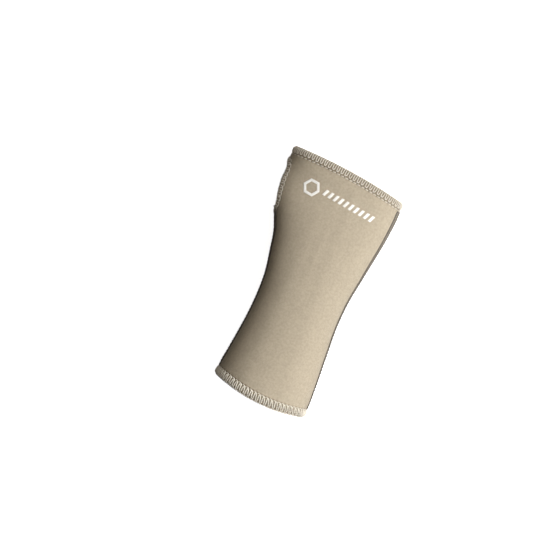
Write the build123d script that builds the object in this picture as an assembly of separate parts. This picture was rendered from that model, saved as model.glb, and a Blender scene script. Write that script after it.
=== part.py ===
from build123d import *
import os
from functools import cache
from math import copysign, cos, pi, sin, sqrt

# Wrist splint for a right hand: a pull-on laminated sleeve with overlocked edges, a thumb opening
# and a pocket on the palm side that holds a removable aluminium stay.
# Millimetres. +Y points to the fingers, +X to the little finger, +Z out of the back of the hand.
# The origin is under the middle of the box, on the surface that the splint lies on, palm down.

# ---- driving dimensions ---------------------------------------------------------------------

# Outer surface of the sleeve, cuff to fingers: y, thumb side x, little-finger side x,
# palm side z, back side z. The first and last stations lie beyond the sewn edges.
STATIONS = (
    (-98.0, -36.6, 34.6, 4.9, 60.6),
    (-76.0, -35.4, 35.0, 4.1, 56.6),
    (-62.0, -33.5, 34.9, 3.9, 53.9),
    (-48.0, -31.7, 34.4, 3.8, 51.4),
    (-20.0, -29.0, 33.4, 3.8, 48.0),
    (4.0, -30.0, 35.2, 3.8, 45.8),
    (24.0, -33.6, 38.6, 3.8, 43.8),
    (35.0, -36.2, 40.4, 3.8, 42.9),
    (46.0, -41.6, 42.2, 3.8, 42.1),
    (59.0, -47.3, 43.9, 3.8, 41.2),
    (70.0, -46.0, 44.4, 3.9, 40.3),
    (80.0, -43.1, 44.8, 4.0, 39.4),
    (89.0, -42.4, 45.2, 4.3, 38.6),
    (98.0, -42.2, 45.6, 4.8, 37.6),
)
SECTION_POINTS = 24
BACK_POWER = 2.25
PALM_POWER = 3.0

KNIT = 0.45
FOAM = 2.0
PLY_GAP = 0.05
LAMINATE = 2 * KNIT + FOAM + 2 * PLY_GAP

# Sewn edges, seen from above: the middle of each arc, its radius and its slant in degrees
HAND_EDGE = (2.5, 87.6, 340.0, -7.0)
CUFF_EDGE = (0.1, -90.2, 135.0, -4.8)

# Overlocked hems: the looper threads wrap the raw edge, the needle thread runs beside them
THREAD = 0.6
SEW_GAP = 0.05
LOOPER_BITE = 5.2
NEEDLE_WIDTH = 0.6
NEEDLE_RISE = 0.4
THUMB_LOOPER_BITE = 3.9

# Thumb opening: an ellipse seen from the thumb side, cut square to the cloth by a cone
THUMB_X = -43.0
THUMB_Y = 59.0
THUMB_Z = 20.5
THUMB_HALF_LENGTH = 20.0
THUMB_HALF_HEIGHT = 11.0
THUMB_CONE_DEPTH = 23.0

# Side seams lie on one slanting plane: its height at y = 0 and its fall towards the fingers
SEAM_Z = 29.2
SEAM_FALL = 0.062
SEAM_WIDTH = 5.0
SEAM_RISE = 0.4

# Stay and its pocket on the palm side
STAY_LENGTH = 146.0
STAY_WIDTH = 24.0
STAY_THICKNESS = 1.6
STAY_END_Y = 70.0
STAY_Z = 2.3
CAP_LENGTH = 11.0
CAP_SIDE = 0.35
CAP_GAP = 0.02
POCKET_MOUTH_Y = -78.0
POCKET_END_Y = 70.6
POCKET_CLOTH = 0.9
POCKET_HALF_WIDTH = 19.0
POCKET_TOP_Y = 75.5
POCKET_CORNER = 6.0
CHANNEL_WALL = 0.55
CHANNEL_HALF_FLOOR = 12.9
CHANNEL_SPREAD = 2.6
CHANNEL_HEIGHT = 5.2
BINDING_LENGTH = 5.0
BINDING_THICKNESS = 0.35
BINDING_LIP = 0.6
BINDING_TURN = 0.2
STITCH_INSET = 1.0
STITCH_WIDTH = 0.7
STITCH_RISE = 0.3
STITCH_START = 4.0
TACK_INSET = 0.6
TACK_WIDTH = 1.4
TACK_LENGTH = 3.0
TACK_RISE = 0.5

# Print on the back of the hand: a hexagon and a row of slanted dashes, parallel to the hand hem
PRINT_THICKNESS = 0.15
PRINT_SLANT = -8.4
HEXAGON_X = -20.6
HEXAGON_Y = 66.8
HEXAGON_RADIUS = 6.6
HEXAGON_BAND = 2.2
DASH_COUNT = 10
DASH_PITCH = 4.2
DASH_WIDTH = 2.1
DASH_HEIGHT = 4.8
DASH_LEAN = 1.4
DASH_X = -11.4
DASH_Y = 67.2

# Blank care label inside the cuff
LABEL_WIDTH = 30.0
LABEL_LENGTH = 16.0
LABEL_THICKNESS = 0.25
LABEL_SETBACK = 3.5

# Shift that puts the origin in the middle of the finished box
CENTRE_X = 0.46
CENTRE_Y = -0.27

# Height of the cutting tools, more than the sleeve's own
BELOW = -5.0
ABOVE = 75.0
PALM_TOP = 20.0
BACK_FLOOR = 26.0
REACH = 70.0
OVERRUN = 2.0


# ---- construction helpers -------------------------------------------------------------------

def section(station, grow):
    """Closed curve of one cross-section, moved outwards by grow."""
    y, x_low, x_high, z_low, z_high = station
    mid_x = (x_low + x_high) / 2
    mid_z = (z_low + z_high) / 2
    half_x = (x_high - x_low) / 2 + grow
    half_z = (z_high - z_low) / 2 + grow
    points = []
    for step in range(SECTION_POINTS):
        angle = 2 * pi * step / SECTION_POINTS
        power = BACK_POWER if sin(angle) >= 0 else PALM_POWER
        x = mid_x + half_x * copysign(abs(cos(angle)) ** (2 / power), cos(angle))
        z = mid_z + half_z * copysign(abs(sin(angle)) ** (2 / power), sin(angle))
        points.append((x, y, z))
    return Wire([Edge.make_spline(points, periodic=True)])


@cache
def tube(grow):
    """Solid inside the sleeve's outer surface, moved outwards by grow."""
    return Solid.make_loft([section(station, grow) for station in STATIONS])


@cache
def wall(outer, inner):
    """Layer between two offsets of the sleeve's outer surface."""
    return tube(outer) - tube(inner)


def edge_curve(edge, inset, direction):
    """Arc of a sewn edge, inset towards the sleeve; direction is +1 at the hand, -1 at the cuff."""
    x, y, radius, slant = edge
    drop = radius - sqrt(radius ** 2 - REACH ** 2)
    arc = Edge.make_three_point_arc(
        (-REACH, -direction * (drop + inset)),
        (0, -direction * inset),
        (REACH, -direction * (drop + inset)),
    )
    return arc.moved(Location((x, y, BELOW), (0, 0, slant)))


@cache
def between(cuff_inset, hand_inset):
    """Block between the cuff edge and the hand edge, each inset by so much."""
    cuff = edge_curve(CUFF_EDGE, cuff_inset, -1)
    hand = edge_curve(HAND_EDGE, hand_inset, 1)
    left = Edge.make_line(cuff @ 0, hand @ 0)
    right = Edge.make_line(cuff @ 1, hand @ 1)
    outline = Wire([cuff, right, hand, left])
    return extrude(Face(outline), ABOVE - BELOW, dir=(0, 0, 1))


@cache
def thumb_plug(grow):
    """Elliptic cone that cuts the thumb opening, grown by so much at its nominal size."""
    ends = []
    for part in (0.25, 2.0):
        x = THUMB_X + (1 - part) * THUMB_CONE_DEPTH
        plane = Plane(origin=(x, THUMB_Y, THUMB_Z), x_dir=(0, 1, 0), z_dir=(1, 0, 0))
        ellipse = Ellipse((THUMB_HALF_LENGTH + grow) * part, (THUMB_HALF_HEIGHT + grow) * part)
        ends.append((plane * ellipse).wire())
    return Solid.make_loft(ends, ruled=True)


def seam_side(side, gap):
    """Everything above (+1) or below (-1) the slanting seam plane, kept gap away from it."""
    reach = 120.0
    near = SEAM_Z + side * gap
    far = SEAM_Z + side * 90.0
    profile = Polyline(
        (-reach, near + SEAM_FALL * reach),
        (reach, near - SEAM_FALL * reach),
        (reach, far),
        (-reach, far),
        close=True,
    )
    face = Plane.YZ.offset(-REACH) * make_face(profile)
    return extrude(face, 2 * REACH, dir=(1, 0, 0))


def upright(profile, low, high):
    """Prism of a plan outline, from one height to another."""
    return extrude(Pos(0, 0, low) * profile, high - low, dir=(0, 0, 1))


def block(low, high):
    """Box from its lowest to its highest corner."""
    size = [b - a for a, b in zip(low, high)]
    return Pos(*low) * Box(*size, align=(Align.MIN, Align.MIN, Align.MIN))


def save(name, shape):
    """Write one sub-part, centred on the origin."""
    centred = Pos(-CENTRE_X, -CENTRE_Y, 0) * shape
    solids = [solid for solid in centred.solids() if solid.volume > 0.001]
    export_step(Compound(children=solids), f"parts/{name}.step")


# ---- sleeve panels --------------------------------------------------------------------------

def panels():
    """Three plies of the back panel and of the palm panel, trimmed, with the thumb opening cut."""
    trim = between(0, 0) - thumb_plug(0)
    plies = (
        ("face_knit", 0.0, -KNIT),
        ("foam_core", -KNIT - PLY_GAP, -KNIT - PLY_GAP - FOAM),
        ("lining_knit", -LAMINATE + KNIT, -LAMINATE),
    )
    for ply, outer, inner in plies:
        ring = wall(outer, inner) & trim
        for panel, side in (("dorsal", 1), ("palmar", -1)):
            save(f"{panel}_{ply}", ring & seam_side(side, SEW_GAP))


# ---- overlocked hems ------------------------------------------------------------------------

def hems():
    """Looper threads wrapped round each raw edge, and the needle thread on both faces beside them."""
    sewn = wall(SEW_GAP + THREAD, -LAMINATE - SEW_GAP - THREAD)
    cloth = wall(SEW_GAP, -LAMINATE - SEW_GAP)
    needle = wall(SEW_GAP + NEEDLE_RISE, -LAMINATE - SEW_GAP - NEEDLE_RISE) - cloth
    past = -SEW_GAP - THREAD
    line = LOOPER_BITE + 2 * SEW_GAP
    thumb_line = THUMB_LOOPER_BITE + 2 * SEW_GAP
    whole = between(past, past)

    cloth_hand = cloth & between(past, -SEW_GAP)
    hand_band = between(0, past) - between(past, LOOPER_BITE)
    save("hand_hem_loopers", (sewn & hand_band) - cloth_hand)
    hand_line = between(0, line) - between(past, line + NEEDLE_WIDTH)
    save("hand_hem_needle_thread", needle & hand_line)

    cloth_cuff = cloth & between(-SEW_GAP, past)
    cuff_band = between(past, 0) - between(LOOPER_BITE, past)
    save("cuff_hem_loopers", (sewn & cuff_band) - cloth_cuff)
    cuff_line = between(line, 0) - between(line + NEEDLE_WIDTH, past)
    save("cuff_hem_needle_thread", needle & cuff_line)

    cloth_thumb = (cloth & whole) - thumb_plug(-SEW_GAP)
    thumb_band = thumb_plug(THUMB_LOOPER_BITE) - thumb_plug(past)
    save("thumb_hem_loopers", (sewn & thumb_band) - cloth_thumb)
    thumb_ring = thumb_plug(thumb_line + NEEDLE_WIDTH) - thumb_plug(thumb_line)
    save("thumb_hem_needle_thread", needle & thumb_ring)


# ---- side seams -----------------------------------------------------------------------------

def seams():
    """Flat seams that join the two panels along both sides, between the hems."""
    clear = LOOPER_BITE + NEEDLE_WIDTH + 6 * SEW_GAP
    thumb_clear = THUMB_LOOPER_BITE + NEEDLE_WIDTH + 6 * SEW_GAP
    strip = wall(SEW_GAP + SEAM_RISE, SEW_GAP) & between(clear, clear)
    half = SEAM_WIDTH / 2
    strip = strip & seam_side(1, -half) & seam_side(-1, -half)
    ulnar = block((0, -REACH * 2, BELOW), (REACH, REACH * 2, ABOVE))
    radial = block((-REACH, -REACH * 2, BELOW), (0, THUMB_Y, ABOVE)) - thumb_plug(thumb_clear)
    save("ulnar_seam_flatlock", strip & ulnar)
    save("radial_seam_flatlock", strip & radial)


# ---- stay pocket ----------------------------------------------------------------------------

def pocket_outline(inset):
    """Plan of the pocket cloth: square at the mouth, rounded at the finger end."""
    half = POCKET_HALF_WIDTH - inset
    top = POCKET_TOP_Y - inset
    corner = POCKET_CORNER - inset
    middle = (POCKET_MOUTH_Y + top) / 2
    face = Pos(0, middle) * Rectangle(2 * half, top - POCKET_MOUTH_Y)
    return fillet(face.vertices().group_by(Axis.Y)[-1], corner)


def channel(floor, wall_out, start, end):
    """Trapezoid channel along Y: its floor's height, how far its sides stand out, and its ends."""
    half = CHANNEL_HALF_FLOOR + wall_out
    profile = Polyline(
        (-half, floor),
        (half, floor),
        (half + CHANNEL_SPREAD, floor + CHANNEL_HEIGHT),
        (-half - CHANNEL_SPREAD, floor + CHANNEL_HEIGHT),
        close=True,
    )
    face = Plane(origin=(0, start, 0), x_dir=(1, 0, 0), z_dir=(0, -1, 0)) * make_face(profile)
    return extrude(face, end - start, dir=(0, 1, 0))


def pocket():
    """Pocket cloth laid over the stay's channel, its stitching, its bound mouth and bar tacks."""
    palm = upright(pocket_outline(0), BELOW, PALM_TOP)
    skin = wall(SEW_GAP + POCKET_CLOTH, SEW_GAP) & palm
    cover = channel(0, CHANNEL_WALL, POCKET_MOUTH_Y, POCKET_END_Y + POCKET_CLOTH)
    hollow = channel(POCKET_CLOTH, 0, POCKET_MOUTH_Y - OVERRUN, POCKET_END_Y)
    body = tube(SEW_GAP)
    cloth = (skin + (cover - body)) - hollow
    binding_y = POCKET_MOUTH_Y + BINDING_LENGTH
    before = POCKET_MOUTH_Y - OVERRUN
    rebate = block((-REACH, before, BELOW), (REACH, binding_y, BINDING_THICKNESS + SEW_GAP))
    save("stay_pocket_patch", cloth - rebate)

    tape = block((-REACH, before, BELOW), (REACH, binding_y - SEW_GAP, BINDING_THICKNESS))
    flap = cloth & tape
    lip_y = POCKET_MOUTH_Y - BINDING_LIP
    ring = channel(0, CHANNEL_WALL, lip_y, POCKET_MOUTH_Y - SEW_GAP) - hollow
    lip = ring & block((-REACH, -REACH * 2, BELOW), (REACH, 0, POCKET_CLOTH))
    half = CHANNEL_HALF_FLOOR
    under = block((-half, lip_y, 0), (half, binding_y - 2 * BINDING_LIP, BINDING_TURN))
    save("pocket_mouth_binding", flap + lip + under)

    surface = SEW_GAP * 2 + POCKET_CLOTH
    thread = wall(surface + STITCH_RISE, surface)
    around = upright(pocket_outline(STITCH_INSET), BELOW, PALM_TOP)
    line = around - upright(pocket_outline(STITCH_INSET + STITCH_WIDTH), BELOW, PALM_TOP)
    start = block((-REACH, POCKET_MOUTH_Y + STITCH_START, BELOW), (REACH, REACH * 2, ABOVE))
    save("pocket_edge_stitching", thread & line & start)

    tack = wall(surface + TACK_RISE, surface)
    outside = TACK_INSET - POCKET_HALF_WIDTH
    start = POCKET_MOUTH_Y + TACK_INSET
    places = block((outside, start, BELOW), (outside + TACK_WIDTH, start + TACK_LENGTH, PALM_TOP))
    places += mirror(places, about=Plane.YZ)
    save("pocket_bartacks", tack & places)


# ---- print and label ------------------------------------------------------------------------

def prints():
    """Raised ink on the back of the hand, and the blank label inside the cuff."""
    ink = wall(SEW_GAP + PRINT_THICKNESS, SEW_GAP)
    ring = RegularPolygon(HEXAGON_RADIUS, 6) - RegularPolygon(HEXAGON_RADIUS - HEXAGON_BAND, 6)
    ring = Pos(HEXAGON_X, HEXAGON_Y) * Rot(0, 0, PRINT_SLANT) * ring
    save("print_emblem", ink & upright(ring, BACK_FLOOR, ABOVE))

    low = -DASH_HEIGHT / 2
    high = DASH_HEIGHT / 2
    dash = Polyline(
        (0, low),
        (DASH_WIDTH, low),
        (DASH_WIDTH + DASH_LEAN, high),
        (DASH_LEAN, high),
        close=True,
    )
    row = [Pos(DASH_PITCH * step, 0) * make_face(dash) for step in range(DASH_COUNT)]
    place = Pos(DASH_X, DASH_Y) * Rot(0, 0, PRINT_SLANT)
    dashes = [ink & upright(place * one, BACK_FLOOR, ABOVE) for one in row]
    save("print_dashes", Compound(children=[solid for one in dashes for solid in one.solids()]))

    inside = -LAMINATE - SEW_GAP
    cloth = wall(inside, inside - LABEL_THICKNESS)
    start = CUFF_EDGE[1] + LOOPER_BITE + NEEDLE_WIDTH + LABEL_SETBACK
    side = LABEL_WIDTH / 2
    plan = block((-side, start, BELOW), (side, start + LABEL_LENGTH, PALM_TOP))
    save("care_label", cloth & plan)


# ---- stay -----------------------------------------------------------------------------------

def blade_shape(grow, end_grow):
    """Flat blade with round ends, grown by so much."""
    length = STAY_LENGTH - 2 * CAP_SIDE
    plan = SlotOverall(length + 2 * end_grow, STAY_WIDTH - 2 * CAP_SIDE + 2 * grow, rotation=90)
    half = STAY_THICKNESS / 2 + grow
    middle = STAY_END_Y - STAY_LENGTH / 2
    return Pos(0, middle, STAY_Z - half) * extrude(plan, 2 * half)


def stay():
    """Aluminium stay with a dipped cap on each end."""
    save("stay_blade", blade_shape(0, 0))
    jacket = blade_shape(CAP_SIDE, CAP_SIDE) - blade_shape(CAP_GAP, CAP_GAP)
    start = STAY_END_Y - STAY_LENGTH
    low = block((-REACH, start - OVERRUN, BELOW), (REACH, start + CAP_LENGTH, PALM_TOP))
    high = block(
        (-REACH, STAY_END_Y - CAP_LENGTH, BELOW),
        (REACH, STAY_END_Y + OVERRUN, PALM_TOP),
    )
    save("stay_cap_proximal", jacket & low)
    save("stay_cap_distal", jacket & high)


os.makedirs("parts", exist_ok=True)
panels()
hems()
seams()
pocket()
prints()
stay()
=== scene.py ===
"""Looks of the wrist splint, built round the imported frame: metres, +Y to the fingers, +Z up."""
import math

import bpy
import numpy as np
from mathutils import Matrix, Vector
from mathutils.bvhtree import BVHTree
from mathutils.kdtree import KDTree


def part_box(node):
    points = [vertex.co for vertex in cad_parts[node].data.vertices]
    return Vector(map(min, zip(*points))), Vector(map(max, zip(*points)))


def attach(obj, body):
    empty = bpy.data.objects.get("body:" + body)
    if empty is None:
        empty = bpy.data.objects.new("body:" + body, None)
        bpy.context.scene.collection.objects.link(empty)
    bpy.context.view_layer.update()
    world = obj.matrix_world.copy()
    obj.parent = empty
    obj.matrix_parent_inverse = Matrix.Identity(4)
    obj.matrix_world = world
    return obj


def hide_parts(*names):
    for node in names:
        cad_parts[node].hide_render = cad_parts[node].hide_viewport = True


MM = 0.001
TAU = 2 * math.pi

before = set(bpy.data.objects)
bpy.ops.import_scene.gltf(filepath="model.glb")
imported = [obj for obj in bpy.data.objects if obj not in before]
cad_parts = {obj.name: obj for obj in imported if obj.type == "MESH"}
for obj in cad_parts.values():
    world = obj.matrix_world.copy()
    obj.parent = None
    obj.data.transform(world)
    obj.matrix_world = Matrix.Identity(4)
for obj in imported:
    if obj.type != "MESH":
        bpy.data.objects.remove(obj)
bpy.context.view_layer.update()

# ---- driving dimensions ----

LAMINATE = 3.0 * MM            # knit, foam and knit, with the gaps between them
KNIT = 0.45 * MM
PLY_GAP = 0.05 * MM

STITCH_PITCH = 3.4 * MM        # overlock
HAND_BITE = 5.3 * MM           # raw edge to needle line
CUFF_BITE = 5.4 * MM
THUMB_BITE = 3.9 * MM
HAND_THREAD = 0.41 * MM        # radius of the looper thread
CUFF_THREAD = 0.50 * MM
THUMB_THREAD = 0.36 * MM
NEEDLE_THREAD = 0.28 * MM
COVER_THREAD = 0.26 * MM
POCKET_THREAD = 0.20 * MM
TACK_THREAD = 0.15 * MM
PLY_OFFSET = 0.46              # of the thread's radius, from its middle to each ply's
PLY_SWELL = 1.12               # how much the plies press into each other
FINE_LAY = 1.3 * MM            # length of a full twist in the thin threads
SEAM_PITCH = 2.6 * MM
SEAM_HALF = 2.0 * MM           # half the width between a flat seam's needle rows
LOOPER_STEPS = 26              # points in each stitch
NEEDLE_STEPS = 14
HAND_STYLE = (0.78, 0.02, 0.075)   # the loops' reach, slant and squareness
CUFF_STYLE = (0.96, 0.16, 0.03)
THUMB_STYLE = (0.90, 0.05, 0.06)
THUMB_HARMONICS = 5

# ---- small geometry helpers ----

def unit(vectors):
    """Vectors of length 1, one in each row."""
    return vectors / np.maximum(np.linalg.norm(vectors, axis=-1, keepdims=True), 1e-12)


def smoothstep(value, low, high):
    """0 below low, 1 above high, smooth between."""
    t = np.clip((value - low) / (high - low), 0, 1)
    return t * t * (3 - 2 * t)


def bell(value, centre, width):
    """1 at the centre, falling off on both sides of it."""
    return np.exp(-((value - centre) / width) ** 2)


def turns(count, whole=TAU):
    """Even angles from 0, without the last one that would close the turn."""
    return np.linspace(0, whole, count + 1)[:-1]


def arc_length(path):
    """Distance along a path at each of its points."""
    return np.r_[0, np.cumsum(np.linalg.norm(np.diff(path, axis=0), axis=1))]


def waves(angle, harmonics):
    """A constant, cosines and sines of each angle, up to so many waves in a turn."""
    inner = angle[:, None] * np.arange(1, harmonics + 1)
    return np.hstack([np.ones((len(angle), 1)), np.cos(inner), np.sin(inner)])


def enclosed(mesh):
    """Signed volume of a closed mesh, negative when its faces look inwards."""
    mesh.calc_loop_triangles()
    corners = np.zeros(len(mesh.loop_triangles) * 3, np.int32)
    mesh.loop_triangles.foreach_get("vertices", corners)
    places = np.zeros(len(mesh.vertices) * 3, np.float32)
    mesh.vertices.foreach_get("co", places)
    a, b, c = places.reshape(-1, 3)[corners].reshape(-1, 3, 3).astype(float).transpose(1, 0, 2)
    return np.sum(a * np.cross(b, c)) / 6


def add_object(name, data):
    """Object for a mesh, a light or a camera, linked to the scene."""
    obj = bpy.data.objects.new(name, data)
    bpy.context.scene.collection.objects.link(obj)
    return obj


def make_object(name, points, faces, uv=None):
    """Mesh object from vertex rows and face rows, with an optional UV at each vertex."""
    mesh = bpy.data.meshes.new(name)
    mesh.from_pydata(np.asarray(points).reshape(-1, 3).tolist(), [], faces)
    if uv is not None:
        corner = np.zeros(len(mesh.loops), np.int32)
        mesh.loops.foreach_get("vertex_index", corner)
        layer = mesh.uv_layers.new(name="cloth")
        layer.data.foreach_set("uv", uv[corner].astype(np.float32).ravel())
    mesh.polygons.foreach_set("use_smooth", [True] * len(mesh.polygons))
    mesh.update()
    if enclosed(mesh) < 0:
        mesh.flip_normals()
    return add_object(name, mesh)


def grid_faces(rows, columns):
    """Quads of a grid of rows by columns vertices."""
    first = np.arange(rows * columns).reshape(rows, columns)[:-1, :-1].reshape(-1, 1)
    return first + [0, 1, columns + 1, columns]


def sheet_solid(outside, inside):
    """Points and faces of the closed solid between two matching grids of points."""
    rows, columns = outside.shape[:2]
    cell = np.arange(rows * columns).reshape(rows, columns)
    loop = np.r_[cell[0], cell[1:, -1], cell[-1, -2::-1], cell[-2:0:-1, 0]]
    after = np.roll(loop, -1)
    edge = np.stack([after, loop, loop + cell.size, after + cell.size], 1)
    quads = grid_faces(rows, columns)
    faces = np.vstack([quads, quads[:, ::-1] + cell.size, edge]).tolist()
    return np.concatenate([outside.reshape(-1, 3), inside.reshape(-1, 3)]), faces


def closed_sheet(name, outside, inside, uv):
    """Closed object between two matching grids of points, with the same UV on both."""
    points, faces = sheet_solid(outside, inside)
    return make_object(name, points, faces, np.concatenate([uv.reshape(-1, 2)] * 2))


def tube_faces(rows, columns, closed=False):
    """Faces of a tube of closed point rings, with flat ends unless it meets itself."""
    cell = np.arange(rows * columns).reshape(rows, columns)
    beside = np.roll(cell, -1, 1)
    quads = np.stack([cell, beside, np.roll(beside, -1, 0), np.roll(cell, -1, 0)], -1)
    if closed:
        return quads.reshape(-1, 4).tolist()
    return quads[:-1].reshape(-1, 4).tolist() + [cell[0, ::-1].tolist(), cell[-1].tolist()]


def join(name, solids):
    """One object from several sets of points and faces."""
    points, faces, start = [], [], 0
    for rows, shape in solids:
        points.append(rows)
        faces += [[index + start for index in face] for face in shape]
        start += len(rows)
    return make_object(name, np.concatenate(points), faces)


def spline_weights(value, low, high, count):
    """Cubic B-spline weights of each value over count control points."""
    span = (high - low) / (count - 3)
    place = np.clip((value - low) / span, 0, count - 3 - 1e-9)
    cell = np.floor(place).astype(int)
    t = place - cell
    basis = (
        (1 - t) ** 3 / 6,
        (3 * t ** 3 - 6 * t ** 2 + 4) / 6,
        (-3 * t ** 3 + 3 * t ** 2 + 3 * t + 1) / 6,
        t ** 3 / 6,
    )
    weights = np.zeros((len(value), count))
    index = np.arange(len(value))
    for step, part in enumerate(basis):
        weights[index, cell + step] += part
    return weights


# ---- the sleeve's outer surface, read from the frame ----

class Skin:
    """Smooth surface through the CAD face knit: a radius about a centre line, by angle and length.

    Angle 0 is the little-finger seam, a quarter turn is the back of the hand, a half turn is
    the thumb side."""

    HARMONICS = 9
    CONTROLS = 15
    MARGIN = 4 * MM
    STIFFNESS = 0.15               # against bends along the length
    DAMPING = 0.004                # against short waves round the girth

    def __init__(self, node_names, seam_name):
        cuff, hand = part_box("cuff_hem_loopers"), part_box("hand_hem_loopers")
        self.low = cuff[0].y - self.MARGIN
        self.high = hand[1].y + self.MARGIN
        self.mid_x = [(low.x + high.x) / 2 for low, high in (cuff, hand)]
        low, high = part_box(seam_name)
        half = 2.5 * MM            # half width of the seam's strip
        self.seam = (low.y, high.z - half, high.y, low.z + half)
        self.fit(node_names)

    def centre(self, y):
        """x and z of the centre line, which lies in the seams' plane."""
        share = (y - self.low) / (self.high - self.low)
        y0, z0, y1, z1 = self.seam
        x = self.mid_x[0] + share * (self.mid_x[1] - self.mid_x[0])
        return x, z0 + (y - y0) * (z1 - z0) / (y1 - y0)

    def fit(self, node_names):
        """Least squares through rays shot at the CAD cloth, kept smooth where they are few."""
        depsgraph = bpy.context.evaluated_depsgraph_get()
        trees = [BVHTree.FromObject(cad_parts[name], depsgraph) for name in node_names]
        reach = 100 * MM
        found = []
        for y in np.linspace(self.low + self.MARGIN, self.high - self.MARGIN, 73):
            x, z = self.centre(y)
            for angle in turns(96) + 0.013:
                way = Vector((math.cos(angle), 0, math.sin(angle)))
                start = Vector((x, y, z)) + way * reach
                hits = [tree.ray_cast(start, -way, reach * 0.95)[3] for tree in trees]
                hits = [hit for hit in hits if hit is not None]
                if hits:
                    found.append((angle, y, reach - min(hits)))
        angles, lengths, radii = np.array(found).T
        round_part = waves(angles, self.HARMONICS)
        long_part = spline_weights(lengths, self.low, self.high, self.CONTROLS)
        system = (round_part[:, :, None] * long_part[:, None, :]).reshape(len(radii), -1)
        bend = np.diff(np.eye(self.CONTROLS), 2, axis=0)
        stiff = np.kron(np.eye(round_part.shape[1]), bend) * self.STIFFNESS
        orders = np.arange(1, self.HARMONICS + 1)
        orders = np.repeat(np.r_[0, orders, orders], self.CONTROLS)
        ridge = np.diag(self.DAMPING * orders ** 1.5)
        left = np.vstack([system, stiff, ridge])
        right = np.r_[radii, np.zeros(len(stiff) + len(ridge))]
        answer = np.linalg.lstsq(left, right, rcond=None)[0]
        self.table = answer.reshape(round_part.shape[1], self.CONTROLS)

    def radius(self, angle, y):
        """Distance of the surface from the centre line."""
        angle, y = np.broadcast_arrays(angle, y)
        shape = angle.shape
        angle, y = np.ravel(angle), np.ravel(y)
        long_part = spline_weights(y, self.low, self.high, self.CONTROLS)
        round_part = waves(angle, self.HARMONICS)
        return np.sum((round_part @ self.table) * long_part, axis=1).reshape(shape)

    def point(self, angle, y, height=0.0):
        """Point on the surface, or at a height above it along its normal."""
        angle, y = np.broadcast_arrays(np.asarray(angle, float), np.asarray(y, float))
        radius = self.radius(angle, y)
        x, z = self.centre(y)
        place = np.stack([x + radius * np.cos(angle), y, z + radius * np.sin(angle)], -1)
        if np.any(height):
            place = place + self.normal(angle, y) * np.broadcast_to(height, angle.shape)[..., None]
        return place

    def normal(self, angle, y):
        """Outward normal."""
        step_angle, step_y = 0.004, 0.1 * MM
        along = self.point(angle, y + step_y) - self.point(angle, y - step_y)
        around = self.point(angle + step_angle, y) - self.point(angle - step_angle, y)
        return unit(np.cross(along, around))

    def locate(self, points):
        """Angle and y of points near the surface."""
        x, z = self.centre(points[..., 1])
        return np.arctan2(points[..., 2] - z, points[..., 0] - x) % TAU, points[..., 1]


skin = Skin(("dorsal_face_knit", "palmar_face_knit"), "ulnar_seam_flatlock")


# ---- sewn edges ----

def node_points(*names):
    """All vertices of some CAD nodes."""
    meshes = [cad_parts[name].data for name in names]
    return np.array([vertex.co for mesh in meshes for vertex in mesh.vertices], float)


def edge_of(points, side):
    """Quadratic y(x) through the cloth's extreme points at one end; side is 1 at the hand."""
    bins = np.linspace(points[:, 0].min(), points[:, 0].max(), 29)
    ends = []
    for low, high in zip(bins[:-1], bins[1:]):
        inside = points[(points[:, 0] >= low) & (points[:, 0] < high)]
        if len(inside):
            ends.append(inside[np.argmax(inside[:, 1] * side)])
    ends = np.array(ends)
    ends = ends[ends[:, 1] * side > 70 * MM]
    return np.polyfit(ends[:, 0], ends[:, 1], 2)


class Rim:
    """A sewn raw edge: a closed curve on the skin, by arc length, with the way into the cloth."""

    def __init__(self, angle, y, bite, style, into):
        self.bite = bite
        self.reach, self.lean, self.square = style
        place = skin.point(angle, y)
        self.loop = np.vstack([place, place[:1]])
        self.arc = arc_length(self.loop)
        self.length = self.arc[-1]
        self.stitches = round(self.length / STITCH_PITCH)
        self.pitch = self.length / self.stitches
        tangent = unit(np.roll(place, -1, 0) - np.roll(place, 1, 0))
        inward = unit(np.cross(skin.normal(angle, y), tangent))
        inward *= math.copysign(1, np.sum(inward * into(place)))
        self.inward = np.vstack([inward, inward[:1]])
        self.tree = KDTree(len(place))
        for index, spot in enumerate(place):
            self.tree.insert(spot, index)
        self.tree.balance()

    def near(self, points):
        """Distance from the edge and arc length along it, of each point."""
        found = [self.tree.find(spot) for spot in points]
        return np.array([gap for _, _, gap in found]), self.arc[[index for _, index, _ in found]]

    def cast(self, arc, depth):
        """Angle and y on the skin, at an arc length and a distance into the cloth."""
        arc = arc % self.length
        spots = []
        for start, slope in zip(self.loop.T, self.inward.T):
            spots.append(np.interp(arc, self.arc, start) + depth * np.interp(arc, self.arc, slope))
        return skin.locate(np.stack(spots, -1))


core_points = node_points("dorsal_foam_core", "palmar_foam_core")
HAND_CURVE = edge_of(core_points, 1)
CUFF_CURVE = edge_of(core_points, -1)


def end_y(curve, angle):
    """y where a trimmed end crosses the skin at each angle."""
    y = np.full(np.shape(angle), float(curve[-1]))
    for _ in range(12):
        x = skin.point(angle, y)[..., 0]
        y = np.polyval(curve, x)
    return y


def thumb_outline():
    """Polar outline of the thumb opening seen from the thumb side: its centre and a radius fit."""
    low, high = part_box("thumb_hem_loopers")
    centre = ((low.y + high.y) / 2, (low.z + high.z) / 2)
    cloth = node_points("dorsal_face_knit", "palmar_face_knit")
    beside = (cloth[:, 0] < high.x + 10 * MM) & (cloth[:, 1] > low.y) & (cloth[:, 1] < high.y)
    out = cloth[beside, 1:] - centre
    turn = np.arctan2(out[:, 1], out[:, 0]) % TAU
    reach = np.hypot(out[:, 0], out[:, 1])
    sector = np.floor(turn / TAU * 48)
    edge = [np.argmin(np.where(sector == each, reach, 9)) for each in np.unique(sector)]
    table = waves(turn[edge], THUMB_HARMONICS)
    return centre, np.linalg.lstsq(table, reach[edge], rcond=None)[0]


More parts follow.
